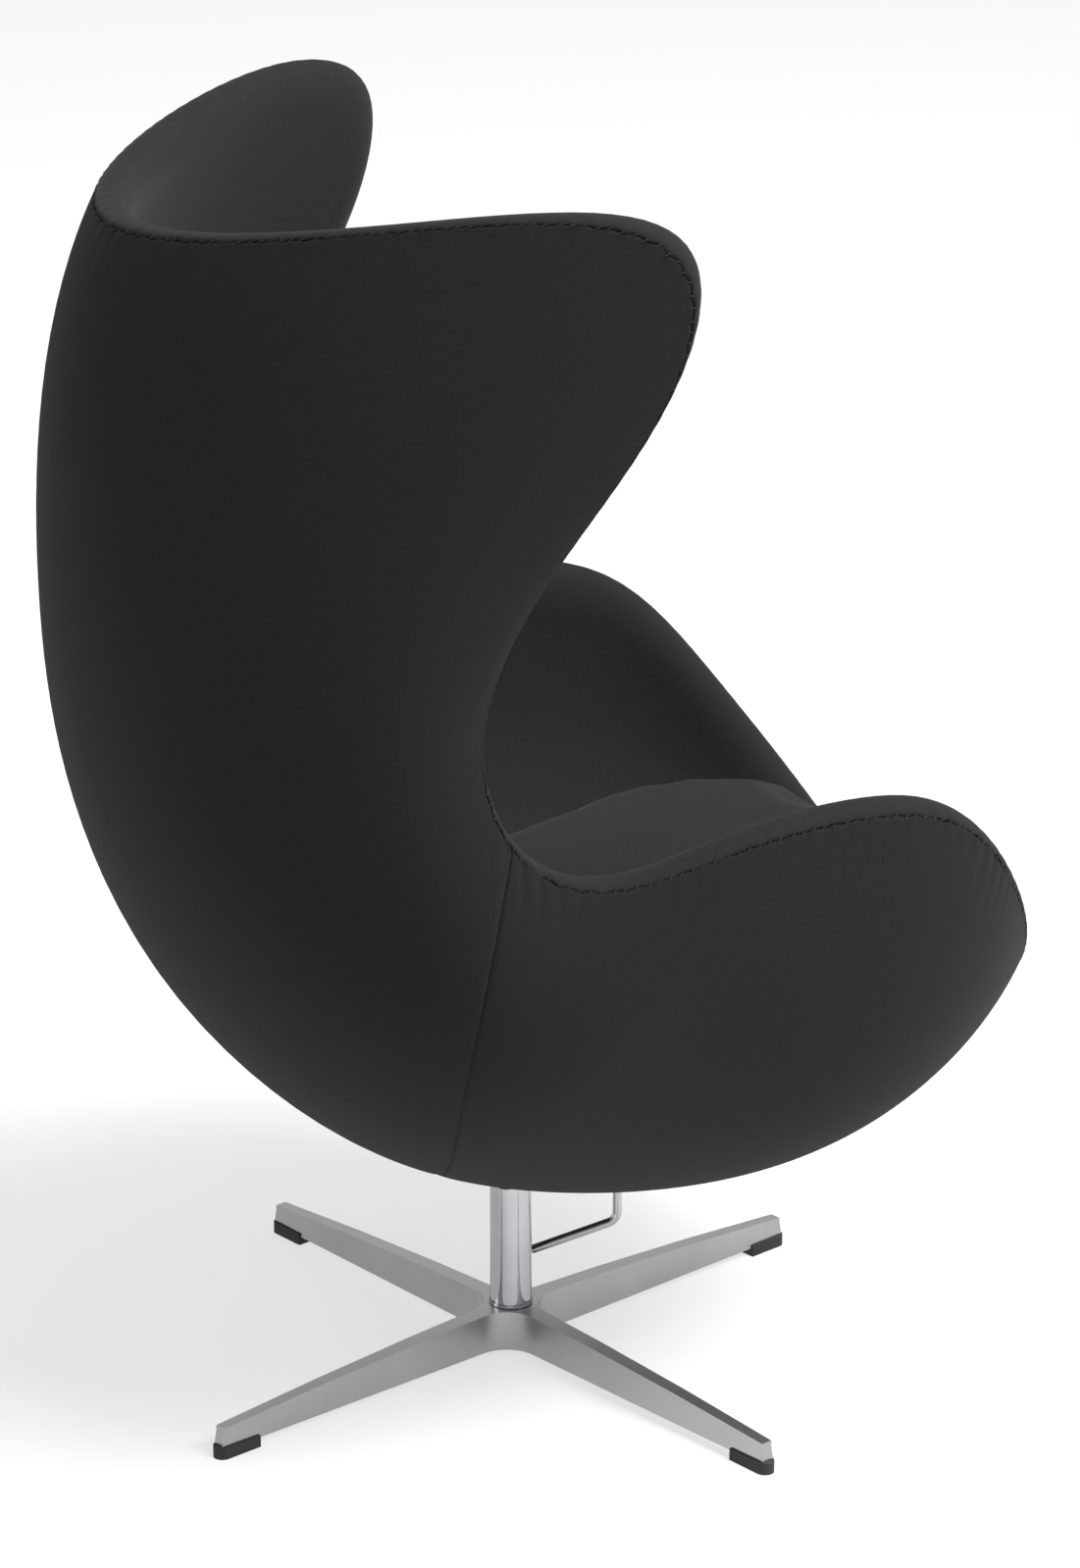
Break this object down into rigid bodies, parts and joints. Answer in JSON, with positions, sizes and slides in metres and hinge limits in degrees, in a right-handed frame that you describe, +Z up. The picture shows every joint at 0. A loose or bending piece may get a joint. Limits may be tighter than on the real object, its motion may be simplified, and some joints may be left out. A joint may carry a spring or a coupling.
{
  "type": "pod chair",
  "caption": "High-winged bucket lounge chair: padded fabric shell with a loose seat cushion, tilting and turning on a chromed column and a low four-legged star base.",
  "frame": {"origin": "on the floor, on the column's axis", "axes": "+Z up, -Y the way the sitter looks, +X the sitter's left"},
  "size_m": [0.758, 0.7897, 1.0751],
  "materials": {
    "outer_fabric": "woven, charcoal",
    "inner_fabric": "woven, charcoal",
    "cushion_fabric": "woven, charcoal",
    "shell_plastic": "glass-fibre",
    "bush_plastic": "moulded",
    "polished_aluminium": "polished",
    "chrome": "polished",
    "black_steel": "satin black",
    "steel": "zinc plated",
    "black_rubber": "moulded"
  },
  "bodies": {
    "base": {"base_casting": "polished_aluminium", "foot_glides": "black_rubber", "swivel_column": "chrome", "base_bolt": "steel", "base_washer": "steel", "swivel_bushes": "bush_plastic", "thrust_bearing": "steel"},
    "turning_frame": {"mechanism_housing": "black_steel", "swivel_spindle": "steel", "spindle_clip": "steel", "stop_pads": "black_rubber", "pivot_bushes": "bush_plastic", "screw_washer": "bush_plastic"},
    "seat_shell": {"seat_plate": "black_steel", "shell_bolts": "steel", "shell_inserts": "steel", "moulded_shell": "shell_plastic", "outer_back_cover": "outer_fabric", "outer_front_cover": "outer_fabric", "inner_lining": "inner_fabric", "seat_cushion": "cushion_fabric", "tilt_pivot_pin": "steel", "pivot_clip": "steel", "rubber_spring": "black_rubber"},
    "crank": {"tension_screw": "steel", "crank_lever": "chrome"},
    "tension_arm": {"tension_fork": "black_steel", "tension_nut": "steel"}
  },
  "joints": [
    {"name": "swivel", "type": "hinge", "parent": "base", "child": "turning_frame", "pos_m": [0, 0, 0.156], "axis": [0, 0, 1], "continuous": true},
    {"name": "tilt", "type": "hinge", "parent": "turning_frame", "child": "seat_shell", "pos_m": [0, -0.045, 0.174], "axis": [-1, 0, 0], "range_deg": [0, 10], "stiffness_Nm_per_rad": 250, "springref_deg": -8.59},
    {"name": "crank_turn", "type": "hinge", "parent": "turning_frame", "child": "crank", "pos_m": [0, -0.1, 0.155], "axis": [0, 0, 1], "range_deg": [0, 720]},
    {"name": "fork_swing", "type": "hinge", "parent": "turning_frame", "child": "tension_arm", "pos_m": [0, -0.045, 0.174], "axis": [1, 0, 0], "range_deg": [0, 3.2]}
  ],
  "couplings": [
    {"joint": "fork_swing", "follows": "crank_turn", "ratio": 0.00434}
  ]
}
